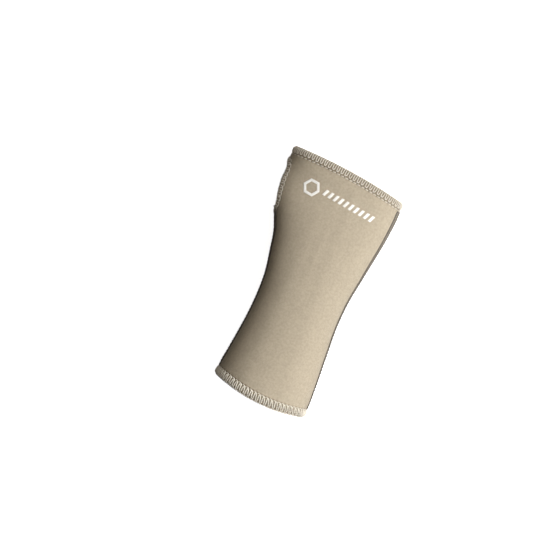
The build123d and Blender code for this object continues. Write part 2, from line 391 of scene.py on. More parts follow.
THUMB_CENTRE, THUMB_FIT = thumb_outline()


def thumb_rim(turn):
    """Angle and y on the skin of the thumb opening's edge."""
    radius = waves(turn, THUMB_HARMONICS) @ THUMB_FIT
    y = THUMB_CENTRE[0] + radius * np.cos(turn)
    z = THUMB_CENTRE[1] + radius * np.sin(turn)
    angle = np.full_like(turn, math.pi)
    for _ in range(20):
        middle = skin.centre(y)[1]
        angle = math.pi - np.arcsin(np.clip((z - middle) / skin.radius(angle, y), -0.95, 0.95))
    return angle, y


ROUND = turns(1600)
HAND_Y, CUFF_Y = end_y(HAND_CURVE, ROUND), end_y(CUFF_CURVE, ROUND)
HAND_RIM = Rim(ROUND, HAND_Y, HAND_BITE, HAND_STYLE, lambda place: np.array([0, -1, 0]))
CUFF_RIM = Rim(ROUND, CUFF_Y, CUFF_BITE, CUFF_STYLE, lambda place: np.array([0, 1, 0]))
THUMB_RIM = Rim(*thumb_rim(ROUND), THUMB_BITE, THUMB_STYLE, lambda place: place - place.mean(0))


# ---- how the cloth lies ----

def wander(points, scale, seed):
    """Smooth random field from -1 to 1: a few crossed waves in directions drawn from a seed."""
    draw = np.random.default_rng(seed)
    total = np.zeros(len(points))
    for _ in range(7):
        way = unit(draw.normal(size=3)) * draw.uniform(0.6, 1.6) / scale
        total += np.sin(points @ way * TAU + draw.uniform(0, TAU))
    return total / 4


def lie(angle, y):
    """How far the laminate stands off the skin, its pinch, and its painted shade: darker colour
    under the hem threads and at the needle holes.
    """
    points = skin.point(angle, y).reshape(-1, 3)
    stand = 0.10 * MM * wander(points, 0.035, 3) + 0.05 * MM * wander(points, 0.012, 4)
    pinch = np.ones(len(points))
    painted_shade = np.zeros(len(points))
    for rim in (HAND_RIM, CUFF_RIM, THUMB_RIM):
        distance, arc = rim.near(points)
        past = distance - rim.bite
        beat = np.cos(TAU * arc / rim.pitch)
        rolled = np.clip(1 - distance / (1.7 * MM), 0, 1) ** 2
        under = 1 - smoothstep(past, -0.9 * MM, 0.9 * MM)
        pinch -= 0.50 * rolled + 0.10 * under + bell(past, 0, 0.75 * MM) * (0.22 + 0.14 * beat)
        # Painted shade: the cloth under the hem threads and a dot at each needle hole are darkened
        # in colour, where shade falls.
        hole = bell(past, 0, 0.8 * MM) * ((1 + beat) / 2) ** 1.3
        painted_shade = np.maximum(painted_shade, np.maximum(0.40 * under, 0.95 * hole))
        stand += 0.07 * MM * bell(past, 1.2 * MM, 1.6 * MM) * beat
        stand += 0.16 * MM * bell(past, 7 * MM, 5 * MM) * (1 + 0.6 * wander(points, 0.02, 5))
    return tuple(part.reshape(np.shape(angle)) for part in (stand, pinch, painted_shade))


def outer_height(angle, y):
    """Height of the cloth's outer face above the skin."""
    stand, pinch, _ = lie(angle, y)
    return stand + (pinch - 1) * LAMINATE / 2


# ---- panels ----

SEAM_GAP_ANGLE = 0.0016
HEM_DEPTH = 9 * MM             # finer rows of vertices from the cuff's edge to here


def row_plan(side, hem_step, middle_step, hole_rows):
    """Each row's two ends: angle and share of the length at the thumb side, share at the other."""
    low, high = float(end_y(CUFF_CURVE, math.pi)), float(end_y(HAND_CURVE, math.pi))
    hem = low + HEM_DEPTH
    angle, y = thumb_rim(np.linspace(0, TAU, 721))
    on_side = (angle - math.pi) * -side > 0
    if on_side[0] and on_side[-1]:
        shift = int(np.argmin(on_side))
        angle, y, on_side = (np.roll(row[:-1], -shift) for row in (angle, y, on_side))
    angle, y = angle[on_side], y[on_side]
    pick = np.linspace(0, len(y) - 1, hole_rows).round().astype(int)
    if y[0] > y[-1]:
        pick = len(y) - 1 - pick
    angle, y = angle[pick], y[pick]
    middle_rows, end_rows = (y[0] - hem) / middle_step, (high - y[-1]) / hem_step
    middle = np.linspace(hem, y[0], max(4, round(middle_rows)))[:-1]
    before = np.r_[np.arange(low, hem, hem_step), middle]
    after = np.linspace(y[-1], high, max(4, round(end_rows)))[1:]
    straight = math.pi - side * SEAM_GAP_ANGLE
    angle[0] = angle[-1] = straight
    angle = np.r_[np.full(len(before), straight), angle, np.full(len(after), straight)]
    y_thumb = np.r_[before, y, after]
    y_far = np.r_[before, np.linspace(y[0], y[-1], hole_rows), after]
    return angle, (y_thumb - low) / (high - low), (y_far - low) / (high - low)


def even_angles(start, end, count):
    """Shares of the way between two angles, with even arc length on the middle section."""
    angle = np.linspace(start, end, 400)
    arc = arc_length(skin.point(angle, np.zeros(400)))
    return (np.interp(np.linspace(0, arc[-1], count), arc, angle) - start) / (end - start)


def panel_grid(side, columns, hem_step, middle_step, hole_rows):
    """Angle and y over one panel; side is 1 for the back of the hand and -1 for the palm."""
    angle_side, share_side, share_far = row_plan(side, hem_step, middle_step, hole_rows)
    start = side * SEAM_GAP_ANGLE if side > 0 else TAU - SEAM_GAP_ANGLE
    mix = even_angles(start, math.pi, columns)
    angle = start + (angle_side[:, None] - start) * mix
    share = share_far[:, None] + (share_side - share_far)[:, None] * mix ** 3
    low, high = end_y(CUFF_CURVE, angle), end_y(HAND_CURVE, angle)
    return angle, low + share * (high - low)


def cloth_uv(points):
    """Arc length across the cloth and position along it, in metres."""
    across = np.linalg.norm(np.diff(points, axis=1), axis=2)
    u = np.hstack([np.zeros((len(points), 1)), np.cumsum(across, axis=1)])
    return np.stack([u, points[..., 1]], -1)


def build_panel(name, side):
    """The three plies of one panel."""
    fine = panel_grid(side, 176, 0.42 * MM, 0.95 * MM, 60)
    coarse = panel_grid(side, 96, 0.9 * MM, 2.2 * MM, 40)
    core_top = KNIT + PLY_GAP
    plies = (
        ("face", fine, 0, KNIT),
        ("foam", coarse, core_top, LAMINATE - core_top),
        ("lining", coarse, LAMINATE - KNIT, LAMINATE),
    )
    made = []
    for ply, grid, top, bottom in plies:
        stand, pinch, painted_shade = lie(*grid)
        faces = []
        for depth in (top, bottom):
            height = stand - LAMINATE / 2 + (LAMINATE / 2 - depth) * pinch
            faces.append(skin.point(*grid, height)[:, ::side])
        piece = closed_sheet(f"{name}_{ply}", *faces, cloth_uv(faces[0]))
        # The painted shade goes on the vertices, for the knit's colour to read.
        layer = piece.data.attributes.new("painted_shade", "FLOAT", "POINT")
        values = np.tile(painted_shade[:, ::side].ravel(), 2)
        layer.data.foreach_set("value", values.astype(np.float32))
        made.append(piece)
    return made


# ---- thread ----

def path_frame(path, up, closed):
    """Unit vectors across a path and over it; up is a reference at each point."""
    if closed:
        ahead, behind = np.roll(path, -1, 0), np.roll(path, 1, 0)
    else:
        ahead, behind = np.vstack([path[1:], path[-1:]]), np.vstack([path[:1], path[:-1]])
    tangent = unit(ahead - behind)
    across = unit(np.cross(tangent, up))
    return across, np.cross(across, tangent)


def sweep(path, up, radius, sides, closed):
    """Points and faces of a round tube along a path."""
    across, top = path_frame(path, up, closed)
    turn = turns(sides)[:, None]
    ring = np.cos(turn) * across[:, None] + np.sin(turn) * top[:, None]
    return (path[:, None] + radius * ring).reshape(-1, 3), tube_faces(len(path), sides, closed)


def plied(path, up, radius, closed, lay, sides=6):
    """Twisted thread: two plies that wind round each other along a path."""
    arc = arc_length(path)
    length = arc[-1] + (np.linalg.norm(path[0] - path[-1]) if closed else 0)
    twist = max(1, round(length / lay)) * arc / length
    across, top = path_frame(path, up, closed)
    shift = PLY_OFFSET * radius
    made = []
    for ply in (0, 0.5):
        phase = TAU * (twist + ply)[:, None]
        wound = path + shift * (np.cos(phase) * across + np.sin(phase) * top)
        made.append(sweep(wound, up, PLY_SWELL * (radius - shift), sides, closed))
    return made


def dips(step):
    """How far straight stitches have dived into the cloth: 1 where two meet, 0 between."""
    return np.abs(np.cos(math.pi * step)) ** 8


def on_rim(rim, arc, depth, rise, inner, over=0.0):
    """Points and normals beside a rim: into the cloth by depth and off its outer or inner face by
    rise, but near the middle of its thickness where over is 1."""
    angle, y = rim.cast(arc, depth)
    stand, pinch, _ = lie(angle, y)
    half = LAMINATE / 2 * pinch
    level = (half + rise) * (1 - over) + 0.10 * half * over
    height = stand - LAMINATE / 2 + (-level if inner else level)
    return skin.point(angle, y, height), skin.normal(angle, y)


def looper_path(rim, thread, inner):
    """One looper thread: zigzag between the needle line and the raw edge, over the edge's bend."""
    step = np.arange(rim.stitches * LOOPER_STEPS) / LOOPER_STEPS
    turn = TAU * (step % 1)
    stitch = np.floor(step).astype(int)
    sway, stretch = np.random.default_rng(11 + inner).normal(size=(2, rim.stitches))
    wave = (1 + np.cos(turn)) / 2
    reach = np.clip(1.12 * wave - 0.06, 0, 1)
    lean = rim.lean * np.cos(turn) + rim.square * np.sin(2 * turn)
    arc = rim.pitch * (step + 0.5 * inner + lean + 0.035 * sway[stitch] * wave)
    depth = rim.bite * rim.reach * reach * (1 + 0.03 * stretch[stitch])
    depth -= thread * 0.9 * (1 - reach) ** 2
    rise = thread * (0.62 + 0.30 * np.sin(math.pi * reach))
    return on_rim(rim, arc, depth, rise, inner, smoothstep(1 - reach, 0.80, 1.0))


def needle_path(rim, inner):
    """The needle thread: a row of straight stitches that dip into the cloth between them."""
    step = np.arange(rim.stitches * NEEDLE_STEPS) / NEEDLE_STEPS
    depth = rim.bite + (-0.1 if inner else 0.25) * MM
    height = NEEDLE_THREAD * (0.75 - 3.2 * dips(step))
    return on_rim(rim, rim.pitch * step, depth, height, inner)


def build_hem(name, rim, thread):
    """Looper threads and needle thread of one overlocked edge."""
    loopers, needle = [], []
    for inner in (False, True):
        loopers += plied(*looper_path(rim, thread, inner), thread, True, 2.6 * MM)
        needle += plied(*needle_path(rim, inner), NEEDLE_THREAD, True, FINE_LAY, sides=5)
    return join(f"{name}_looper_threads", loopers), join(f"{name}_needle_line", needle)


def seam_strip(name, angle, low, high):
    """Flat seam: two rows of needle stitches with a cover thread laid zigzag between them."""
    stitches = round((high - low) / SEAM_PITCH)
    step = np.arange(stitches * NEEDLE_STEPS + 1) / NEEDLE_STEPS
    y = low + (high - low) * step / stitches

    def thread(across, height, radius, lay):
        """Twisted thread along the seam, off the cloth by height."""
        spin = angle + across / skin.radius(angle, 0.0)
        place = skin.point(spin, y, outer_height(spin, y) + height)
        return plied(place, skin.normal(spin, y), radius, False, lay, sides=5)

    tubes = []
    for side in (-1, 1):
        across = np.full(len(y), side * SEAM_HALF)
        height = NEEDLE_THREAD * (1.3 - 3.4 * dips(step))
        tubes += thread(across, height, NEEDLE_THREAD, FINE_LAY)
    for phase, tilt in ((0, -1), (0.5, 1)):
        swing = SEAM_HALF * np.clip(1.25 * np.cos(TAU * (step + phase)), -1, 1)
        rise = (0.20 + 0.05 * tilt * np.sin(2 * TAU * step)) * MM
        tubes += thread(swing, rise, COVER_THREAD, 1.6 * MM)
    return join(name, tubes)


# ---- stay pocket ----

POCKET_LOW, POCKET_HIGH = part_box("stay_pocket_patch")
POCKET_X = (POCKET_LOW.x + POCKET_HIGH.x) / 2
POCKET_HALF = (POCKET_HIGH.x - POCKET_LOW.x) / 2
POCKET_CLOTH = 0.9 * MM
POCKET_CORNER = 6 * MM
CHANNEL_HALF = 12.9 * MM       # half width of the channel's floor, inside
CHANNEL_WALL = 0.55 * MM
CHANNEL_SLOPE = 2.0
CHANNEL_END = POCKET_HIGH.y - 4.9 * MM
TAPE = 0.33 * MM               # its outer leaf
INNER_TAPE = 0.17 * MM
TAPE_LENGTH = 5 * MM
LOCKSTITCH_INSET = 1.35 * MM
LOCKSTITCH_PITCH = 2.6 * MM
DOWN = (0.0, 0.0, -1.0)


def soft_ramp(value, softness):
    """0 below zero and value above it, rounded at the corner."""
    return softness * np.logaddexp(0, value / softness)


def plan_angle(x, y, side):
    """Angle on the skin over a plan position; side is 1 on the back and -1 on the palm."""
    low = np.full(np.shape(x), 0.0 if side > 0 else math.pi)
    high = low + math.pi
    for _ in range(26):
        middle = (low + high) / 2
        right_of = skin.centre(y)[0] + skin.radius(middle, y) * np.cos(middle) > x
        onward = right_of if side > 0 else ~right_of
        low = np.where(onward, middle, low)
        high = np.where(onward, high, middle)
    return (low + high) / 2


def pocket_border(x, y):
    """Distance in plan to the nearest sewn edge of the pocket cloth."""
    side = POCKET_HALF - np.abs(x - POCKET_X)
    top = POCKET_HIGH.y - y
    corner_x = np.maximum(POCKET_CORNER - side, 0)
    corner_y = np.maximum(POCKET_CORNER - top, 0)
    rounded = POCKET_CORNER - np.hypot(corner_x, corner_y)
    return np.where((corner_x > 0) & (corner_y > 0), rounded, np.minimum(side, top))


def pocket_levels(x, y):
    """Heights of the pocket cloth's outer and inner faces."""
    angle = plan_angle(x, y, -1)
    palm = skin.point(angle, y)[..., 2] - outer_height(angle, y)
    beside, border = np.abs(x - POCKET_X), pocket_border(x, y)
    outer_ramp = CHANNEL_SLOPE * soft_ramp(beside - CHANNEL_HALF - CHANNEL_WALL, 0.25 * MM)
    outer_ramp = np.maximum(outer_ramp, 3 * soft_ramp(y - CHANNEL_END - POCKET_CLOTH, 0.2 * MM))
    inner_ramp = CHANNEL_SLOPE * soft_ramp(beside - CHANNEL_HALF, 0.12 * MM)
    inner_ramp = np.maximum(inner_ramp, 3 * soft_ramp(y - CHANNEL_END, 0.12 * MM))
    flap = palm - POCKET_CLOTH - PLY_GAP
    stitched = bell(border, LOCKSTITCH_INSET, 0.6 * MM)
    rounded = np.exp(-border / (0.3 * MM))
    outer = np.maximum(flap - soft_ramp(flap - outer_ramp, 0.5 * MM), 0)
    outer = outer + stitched * 0.16 * MM + rounded * 0.34 * POCKET_CLOTH
    inner = np.minimum(POCKET_CLOTH + inner_ramp, palm - PLY_GAP)
    mouth = 1 - smoothstep(y - POCKET_LOW.y, TAPE_LENGTH - 0.3 * MM, TAPE_LENGTH + 0.1 * MM)
    outer = outer + mouth * (TAPE + 0.04 * MM)
    return np.minimum(outer, inner - 0.35 * MM), inner


def build_pocket():
    """Pocket cloth over the stay's channel."""
    y = np.linspace(POCKET_LOW.y, POCKET_HIGH.y - 0.02 * MM, 230)[:, None]
    past = np.maximum(y - POCKET_HIGH.y + POCKET_CORNER, 0)
    half = POCKET_HALF - POCKET_CORNER + np.sqrt(POCKET_CORNER ** 2 - past ** 2)
    x = POCKET_X + half * np.linspace(-1, 1, 96)
    y = np.broadcast_to(y, x.shape)
    outer, inner = pocket_levels(x, y)
    over, under = np.stack([x, y, inner], -1), np.stack([x, y, outer], -1)
    return closed_sheet("stay_pocket", over, under, np.stack([x, y], -1))


def build_binding():
    """Tape folded over the pocket's mouth, from its outer face to its inner face."""
    x = POCKET_X + (POCKET_HALF - 0.1 * MM) * np.linspace(-1, 1, 90)
    edge = POCKET_LOW.y
    over_stay = 1 - smoothstep(np.abs(x - POCKET_X), CHANNEL_HALF - 1.2 * MM, CHANNEL_HALF)
    near, far = [], []

    def lay(y, hidden, seen, bulge=0.0):
        """A row of the tape across the mouth: heights of its two faces."""
        near.append(np.stack([x, y + 0 * x, hidden], -1))
        far.append(np.stack([x, y + 0 * x - bulge, seen], -1))

    for share in np.linspace(1, 0, 12):
        y = edge + 0.1 * MM + share * (TAPE_LENGTH - 0.5 * MM)
        outer, _ = pocket_levels(x, y)
        lay(y, outer - 0.01 * MM, outer - TAPE * min(1, 0.55 + 4 * (1 - share)))
    outer, inner = pocket_levels(x, edge)
    middle, reach = (outer + inner) / 2, (inner - outer) / 2
    for turn in np.linspace(0, math.pi, 9)[1:-1]:
        lift, out = -math.cos(turn), math.sin(turn)
        hidden = middle + lift * (reach + 0.01 * MM)
        seen = middle + lift * (reach + (INNER_TAPE if lift > 0 else TAPE))
        lay(edge - 0.02 * MM * out, hidden, seen, 0.5 * MM * out)
    for share in np.linspace(0, 1, 8):
        y = edge + 0.1 * MM + share * (3.4 * MM * over_stay + 0.1 * MM)
        _, inner = pocket_levels(x, y)
        lay(y, inner + 0.01 * MM, inner + INNER_TAPE)
    near, far = np.array(near), np.array(far)
    step = np.linalg.norm(np.diff(far, axis=0), axis=2)
    along = np.vstack([0 * x, np.cumsum(step, axis=0)])
    return closed_sheet("pocket_binding", near, far, np.stack([along * 0 + x, along], -1))


def pocket_thread(x, y, height):
    """Points over the pocket cloth's outer face, off it by height."""
    outer, _ = pocket_levels(x, y)
    return np.stack([x, y, outer - height], -1)


def build_lockstitch():
    """Straight stitches along the pocket's sides and round its finger end."""
    half = POCKET_HALF - LOCKSTITCH_INSET
    top = POCKET_HIGH.y - LOCKSTITCH_INSET
    corner = POCKET_CORNER - LOCKSTITCH_INSET
    quarter = np.linspace(0, math.pi / 2, 14)
    x = np.r_[half, half - corner + corner * np.cos(quarter)]
    y = np.r_[POCKET_LOW.y + TAPE_LENGTH, top - corner + corner * np.sin(quarter)]
    x, y = np.r_[x, -x[::-1]], np.r_[y, y[::-1]]
    arc = arc_length(np.stack([x, y], -1))
    stitches = round(arc[-1] / LOCKSTITCH_PITCH)
    step = np.arange(stitches * 12 + 1) / 12
    spot = step * arc[-1] / stitches
    height = POCKET_THREAD * (0.7 - 2.6 * dips(step))
    path = pocket_thread(POCKET_X + np.interp(spot, arc, x), np.interp(spot, arc, y), height)
    return join("pocket_lockstitch", plied(path, DOWN, POCKET_THREAD, False, 1.2 * MM, sides=5))


def build_bar_tacks():
    """Dense zigzags that lock the pocket's mouth at both sides."""
    low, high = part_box("pocket_bartacks")
    width, swings = 1.4 * MM, 13
    step = np.linspace(0, swings, swings * 10 + 1)
    swing = np.clip(1.2 * np.cos(math.pi * step), -1, 1) * (width / 2 - TACK_THREAD)
    y = low.y + 0.2 * MM + (high.y - low.y - 0.4 * MM) * step / swings
    tubes = []
    for middle in (low.x + width / 2, high.x - width / 2):
        path = pocket_thread(middle + swing, y, TACK_THREAD)
        tubes.append(sweep(path, DOWN, TACK_THREAD, 6, False))
    return join("pocket_bar_tacks", tubes)


# ---- print and label ----

PRINT_SLANT = math.radians(-8.4)
EMBLEM_RADIUS = 6.6 * MM
EMBLEM_BAND = 2.2 * MM
DASH_COUNT = 10
DASH_PITCH = 4.2 * MM
DASH_WIDTH = 2.1 * MM
DASH_HEIGHT = 4.8 * MM
DASH_LEAN = 1.4 * MM
INK_FLOOR = 0.03 * MM
INK_TOP = 0.13 * MM


def on_back(x, y, height):
    """Points over the back of the hand, off the cloth by height."""
    angle = plan_angle(x, y, 1)
    return skin.point(angle, y, outer_height(angle, y) + height)


def turned(x, y, origin):
    """Plan position turned with the print and moved to its origin."""
    cos, sin = math.cos(PRINT_SLANT), math.sin(PRINT_SLANT)
    return origin[0] + x * cos - y * sin, origin[1] + x * sin + y * cos


def ink_faces(x, y, inside):
    """Top and bottom of a coat of ink over plan positions, thinner at its border."""
    top = on_back(x, y, np.where(inside, INK_TOP, (INK_FLOOR + INK_TOP) / 2))
    return top, on_back(x, y, INK_FLOOR)


def build_emblem():
    """Hexagonal ring of ink."""
    low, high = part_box("print_emblem")
    turn = turns(240)[:, None]
    side = turn % (math.pi / 3) - math.pi / 6
    share = np.linspace(0, 1, 7)
    reach = EMBLEM_RADIUS - EMBLEM_BAND * (1 - share)
    reach = reach * math.cos(math.pi / 6) / np.cos(side)
    x, y = turned(reach * np.cos(turn), reach * np.sin(turn), (low + high) / 2)
    top, bottom = ink_faces(x, y, (share > 0) & (share < 1))
    points = np.concatenate([top, bottom[:, ::-1]], axis=1)
    return make_object("print_hexagon", points, tube_faces(*points.shape[:2], closed=True))


def build_dashes():
    """Row of slanted dashes of ink."""
    low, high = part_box("print_dashes")
    length = (DASH_COUNT - 1) * DASH_PITCH + DASH_WIDTH + DASH_LEAN
    start = turned(-length / 2, 0, (low + high) / 2)
    across, along = np.meshgrid(np.linspace(0, 1, 7), np.linspace(0, 1, 13))
    inside = (across > 0) & (across < 1) & (along > 0) & (along < 1)
    dashes = []
    for step in range(DASH_COUNT):
        x = step * DASH_PITCH + across * DASH_WIDTH + along * DASH_LEAN
        x, y = turned(x, (along - 0.5) * DASH_HEIGHT, start)
        dashes.append(sheet_solid(*ink_faces(x, y, inside)))
    return join("print_dash_row", dashes)


def build_label():
    """Blank satin label sewn inside the cuff on the palm side."""
    low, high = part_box("care_label")
    x, y = np.meshgrid(np.linspace(low.x, high.x, 60), np.linspace(low.y, high.y, 40))
    angle = plan_angle(x, y, -1)
    stand, pinch, _ = lie(angle, y)
    inner = stand - LAMINATE / 2 * (1 + pinch)
    free = smoothstep(y, high.y - 5 * MM, high.y)
    curl = 0.7 + 0.3 * np.sin((x - low.x) / (high.x - low.x) * TAU)
    seat = inner - 0.05 * MM - 0.5 * MM * free * curl
    below, above = skin.point(angle, y, seat), skin.point(angle, y, seat - 0.22 * MM)
    return closed_sheet("care_label_satin", below, above, np.stack([x, y], -1))


# ---- stay ----

STAY_EDGE = 0.35 * MM
CAP_GROWTH = 0.35 * MM
CAP_LENGTH = 11 * MM
CAP_BEAD = 0.12 * MM           # thicker bead at the cap's lip


def build_blade():
    """Flat aluminium blade with round ends and softened edges."""
    low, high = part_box("stay_blade")
    middle, size = (low + high) / 2, high - low
    radius, half = size.x / 2, size.z / 2
    bend = np.linspace(0, math.pi, 49)
    turn = np.r_[bend, bend + math.pi]
    tip = np.repeat([high.y - radius, low.y + radius], len(bend))
    rings = []
    for lean in np.linspace(0, math.pi, 13):
        reach = radius - STAY_EDGE * (1 - math.sin(lean))
        level = np.sign(round(math.cos(lean), 9)) * (half - STAY_EDGE) + STAY_EDGE * math.cos(lean)
        place = [middle.x + reach * np.cos(turn), tip + reach * np.sin(turn)]
        rings.append(np.stack(place + [np.full(len(turn), middle.z + level)], -1))
    blade = make_object("stay_aluminium", rings, tube_faces(len(rings), len(turn)))
    for face in list(blade.data.polygons)[-2:]:
        face.use_smooth = False
    return blade


def build_cap(end, direction):
    """Dipped cap on one end of the blade; direction is 1 at the finger end."""
    low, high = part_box(f"stay_cap_{end}")
    blade_low, blade_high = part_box("stay_blade")
    middle, blade = (low + high) / 2, blade_high - blade_low
    tip = high.y if direction > 0 else low.y
    flat, bend = turns(24, 2), turns(14, math.pi)
    straight = np.r_[1 - flat, 0 * bend - 1, flat - 1, 0 * bend + 1]
    curved = np.r_[0 * flat, -np.sin(bend), 0 * flat, np.sin(bend)]
    over = np.r_[0 * flat + 1, np.cos(bend), 0 * flat - 1, -np.cos(bend)]

    def ring(from_tip, growth):
        """Section of the end at a distance from the cap's tip, grown by so much."""
        behind = max(from_tip - (CAP_GROWTH - growth), 0)
        reach = blade.x / 2 + growth
        wide = max(math.sqrt(reach ** 2 - (reach - min(behind, reach)) ** 2), 0.4 * MM)
        thick = blade.z / 2 + growth
        near = min(behind / thick, 1)
        tall = max(thick * math.sqrt(1 - (1 - near) ** 2), 0.1 * MM)
        edge = min(tall, wide) * 0.95
        x = middle.x + (wide - edge) * straight + edge * curved
        return np.stack([x, 0 * x + tip - direction * from_tip, middle.z + tall * over], -1)

    rings = []
    lengths = CAP_LENGTH * np.linspace(0, 1, 26) ** 1.8
    for from_tip in lengths:
        left = CAP_LENGTH - from_tip
        beaded = CAP_BEAD * (bell(left, 0.7 * MM, 0.5 * MM) - 1)
        rounded = 0.22 * MM * math.exp(-left / (0.15 * MM))
        rings.append(ring(from_tip, CAP_GROWTH + beaded - rounded))
    for from_tip in lengths[::-1]:
        rings.append(ring(max(from_tip, CAP_GROWTH), 0.02 * MM))
    faces = tube_faces(len(rings), len(over))
    return make_object(f"stay_{end}_dipped_cap", rings, faces)


# ---- materials ----

class Nodes:
    """Short way to write a shader."""

    def __init__(self, name):
        self.material = bpy.data.materials.new(name)
        self.material.use_nodes = True
        self.tree = self.material.node_tree
        self.shader = self.tree.nodes["Principled BSDF"]

    def add(self, kind, inputs=None, **settings):
        """A node with its settings, and what goes into its inputs."""
        node = self.tree.nodes.new(kind)
        for key, value in settings.items():
            setattr(node, key, value)
        for key, value in (inputs or {}).items():
            self.feed(node.inputs[key], value)
        return node

    def feed(self, socket, value):
        """Give a socket a number, a colour or another node's output."""
        if isinstance(value, (int, float)):
            socket.default_value = value
        elif isinstance(value, tuple):
            socket.default_value = (*value, 1)
        else:
            self.tree.links.new(value, socket)

    def math(self, operation, first, second=0.5):
        return self.add("ShaderNodeMath", {0: first, 1: second}, operation=operation).outputs[0]

    def place(self):
        return self.add("ShaderNodeTexCoord").outputs["Object"]

    def noise(self, scale, detail, place=None):
        inputs = {"Scale": scale, "Detail": detail, "Vector": place or self.place()}
        return self.add("ShaderNodeTexNoise", inputs).outputs["Fac"]

    def ramp(self, value, *stops):
        node = self.add("ShaderNodeValToRGB", {"Fac": value})
        for element, (place, colour) in zip(node.color_ramp.elements, stops):
            element.position = place
            element.color = (*colour, 1)
        return node.outputs["Color"]

    def tones(self, value, colour, *stops):
        """Shades of one colour, from dark to light."""
        return self.ramp(value, *((place, shade(colour, factor)) for place, factor in stops))

    def multiply(self, share, first, second):
        inputs = {0: share, 6: first, 7: second}
        node = self.add("ShaderNodeMix", inputs, data_type="RGBA", blend_type="MULTIPLY")
        return node.outputs[2]

    def bump(self, height, distance, strength):
        inputs = {"Height": height, "Distance": distance, "Strength": strength}
        return self.add("ShaderNodeBump", inputs).outputs["Normal"]

    def finish(self, **inputs):
        """Fill the shader's own sockets, with _ for each space in their names."""
        for key, value in inputs.items():
            self.feed(self.shader.inputs[key.replace("_", " ")], value)
        return self.material


def shade(colour, factor):
    """A colour made lighter or darker."""
    return tuple(min(1.0, part * factor) for part in colour)


def knit_material(name, colour, wale, course):
    """Fine jersey: rows of small V loops, soft mottling and a little fuzz."""
    n = Nodes(name)
    uv = n.add("ShaderNodeUVMap", uv_map="cloth").outputs["UV"]
    parts = n.add("ShaderNodeSeparateXYZ", {0: uv}).outputs
    cell = n.math("FRACT", n.math("MULTIPLY", parts["X"], 1 / wale))
    fold = n.math("ABSOLUTE", n.math("SUBTRACT", cell, 0.5))
    along = n.math("MULTIPLY", parts["Y"], 1 / course)
    slant = n.math("ADD", along, n.math("MULTIPLY", fold, 1.7))
    loop = n.math("SINE", n.math("MULTIPLY", slant, TAU))
    leg = n.math("SINE", n.math("MULTIPLY", fold, TAU))
    height = n.math("ADD", n.math("MULTIPLY", loop, 0.34), n.math("MULTIPLY", leg, 0.66))
    height = n.math("ADD", height, n.math("MULTIPLY", n.noise(5200, 3), 0.5))
    tone = n.tones(n.noise(620, 4), colour, (0.3, 0.90), (0.7, 1.08))
    broad = n.ramp(n.noise(40, 2), (0.3, (0.95, 0.95, 0.95)), (0.7, WHITE))
    tone = n.multiply(0.4, tone, broad)
    # Painted shade: the knit's valleys darker than its loops.
    tone = n.multiply(0.75, tone, n.ramp(height, (0.15, (0.80, 0.79, 0.77)), (0.75, WHITE)))
    # Painted shade under the hem threads and at the needle holes, read from the vertices.
    painted_shade = n.add("ShaderNodeAttribute", attribute_name="painted_shade").outputs["Fac"]
    tone = n.multiply(1.0, tone, n.ramp(painted_shade, (0.0, WHITE), (1.0, (0.30, 0.27, 0.24))))
    return n.finish(
        Base_Color=tone, Normal=n.bump(height, 0.07 * MM, 0.8), Roughness=0.86,
        Sheen_Weight=0.25, Sheen_Roughness=0.45, Specular_IOR_Level=0.25,
    )


def thread_material(name, colour, rough):
    """Textured thread: fine filaments and uneven tone."""
    n = Nodes(name)
    fine = n.noise(3600, 4)
    tone = n.tones(fine, colour, (0.28, 0.80), (0.68, 1.10))
    broad = n.ramp(n.noise(300, 2), (0.3, (0.88, 0.87, 0.85)), (0.7, WHITE))
    return n.finish(
        Base_Color=n.multiply(0.6, tone, broad), Normal=n.bump(fine, 0.06 * MM, 0.7),
        Roughness=rough, Sheen_Weight=0.3, Specular_IOR_Level=0.3,
    )


def foam_material(name, colour):
    """Closed-cell foam: pale, with small cells."""
    n = Nodes(name)
    cells = n.add("ShaderNodeTexVoronoi", {"Scale": 3400, "Vector": n.place()})
    wall = cells.outputs["Distance"]
    tone = n.tones(wall, colour, (0.05, 0.75), (0.5, 1))
    return n.finish(Base_Color=tone, Normal=n.bump(wall, 0.08 * MM, 0.8), Roughness=0.8)


def coat_material(name, colour, scale, detail, dark, light, rough, specular):
    """Ink or dipped vinyl: nearly smooth and slightly uneven."""
    n = Nodes(name)
    grain = n.noise(scale, detail)
    return n.finish(
        Base_Color=n.tones(grain, colour, dark, light), Normal=n.bump(grain, 0.05 * MM, 0.5),
        Roughness=rough, Specular_IOR_Level=specular,
    )


def aluminium_material(name, colour):
    """Rolled aluminium with the grain along the strip and small handling marks."""
    n = Nodes(name)
    stretch = n.add("ShaderNodeMapping", {"Vector": n.place()})
    stretch.inputs["Scale"].default_value = (1, 0.02, 1)
    grain = n.noise(5200, 3, stretch.outputs["Vector"])
    return n.finish(
        Base_Color=n.tones(grain, colour, (0.3, 0.90), (0.7, 1.04)),
        Roughness=n.math("ADD", n.math("MULTIPLY", n.noise(420, 4), 0.16), 0.58),
        Normal=n.bump(grain, 0.01 * MM, 0.5), Metallic=1.0,
    )


